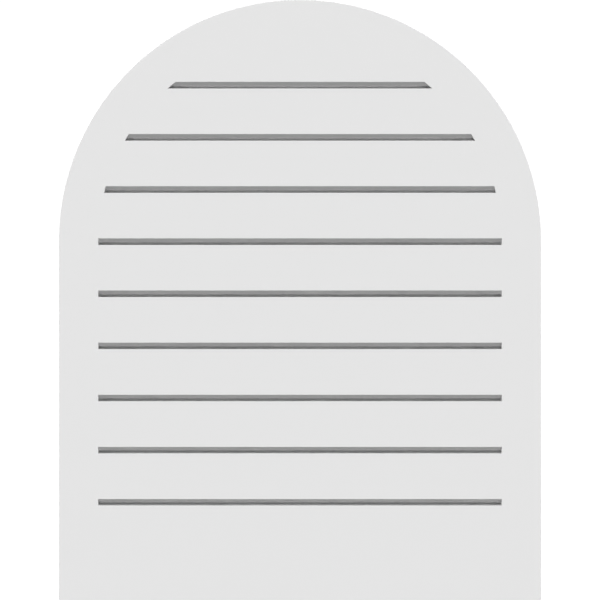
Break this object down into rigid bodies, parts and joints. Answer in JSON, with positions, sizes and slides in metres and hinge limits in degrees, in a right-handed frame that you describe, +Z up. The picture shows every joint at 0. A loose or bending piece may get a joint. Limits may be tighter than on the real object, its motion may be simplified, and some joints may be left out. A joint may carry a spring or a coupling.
{
  "type": "gable vent",
  "caption": "Flat round-top wall vent cut from one board, with level louvre slots that let attic air out and drain rain to the front.",
  "frame": {"origin": "middle of the bottom edge of the flat back face, which lies against the wall", "axes": "+X to the right seen from the front, +Y out of the back face into the wall, +Z up"},
  "size_m": [0.6096, 0.0254, 0.7619],
  "materials": {
    "white_board": "matte white cellular PVC sheet"
  },
  "bodies": {
    "root": {"vent_panel": "white_board"}
  },
  "joints": []
}
